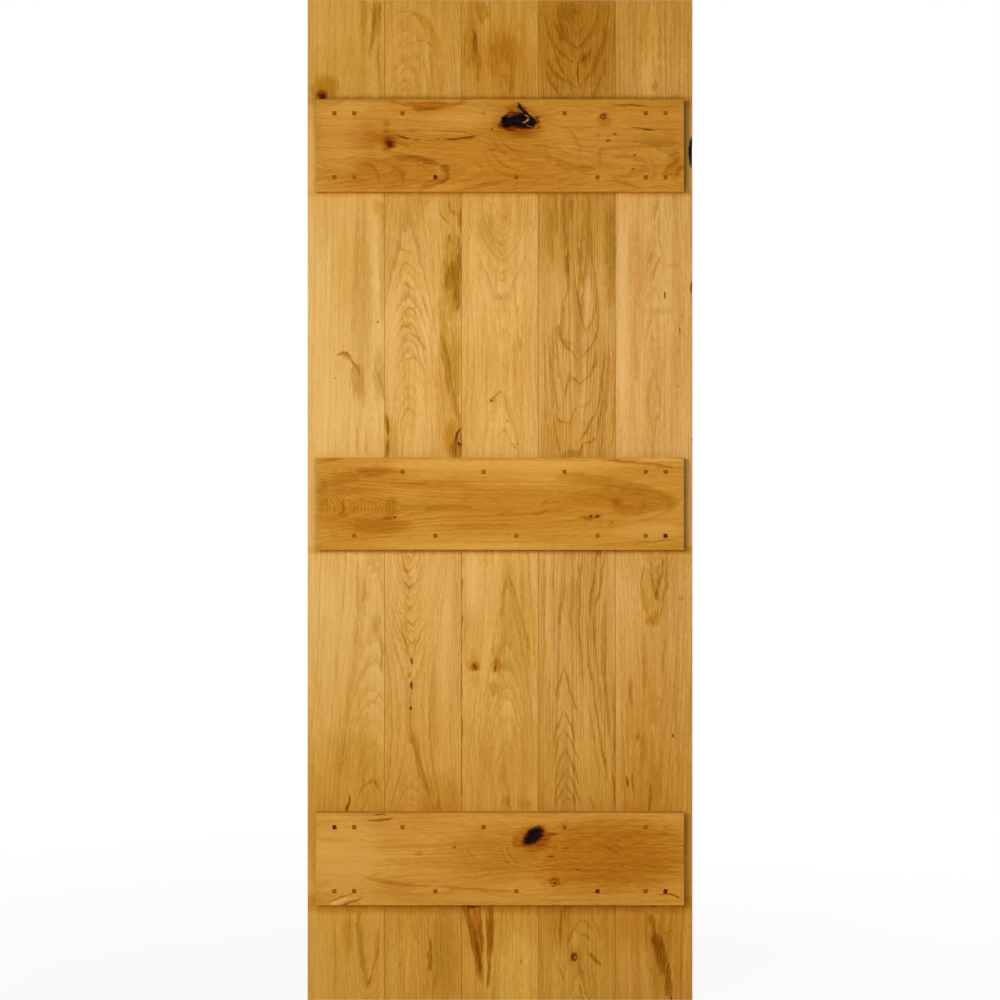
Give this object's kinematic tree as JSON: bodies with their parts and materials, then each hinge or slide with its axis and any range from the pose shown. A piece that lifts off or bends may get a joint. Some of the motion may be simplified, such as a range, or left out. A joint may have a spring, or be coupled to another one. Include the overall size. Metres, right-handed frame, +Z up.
{
  "type": "ledged plank door leaf",
  "caption": "Solid oak plank door leaf of upright tongued and grooved boards, held together by three horizontal ledges fixed with square pegs.",
  "frame": {"origin": "middle of the leaf's foot, halfway through the thickness of boards and ledges together", "axes": "+Z up the boards, +X to the right as seen from the ledged side, +Y out of the flush side"},
  "size_m": [0.762, 0.042, 1.981],
  "materials": {
    "oak_boards": "oiled oak, planed, straw to honey",
    "oak_ledges": "oiled oak, planed, deeper gold",
    "oak_pegs": "oak end grain, darkened"
  },
  "bodies": {
    "root": {"board_1": "oak_boards", "board_2": "oak_boards", "board_3": "oak_boards", "board_4": "oak_boards", "board_5": "oak_boards", "top_ledge": "oak_ledges", "middle_ledge": "oak_ledges", "bottom_ledge": "oak_ledges", "top_ledge_pegs": "oak_pegs", "middle_ledge_pegs": "oak_pegs", "bottom_ledge_pegs": "oak_pegs"}
  },
  "joints": []
}
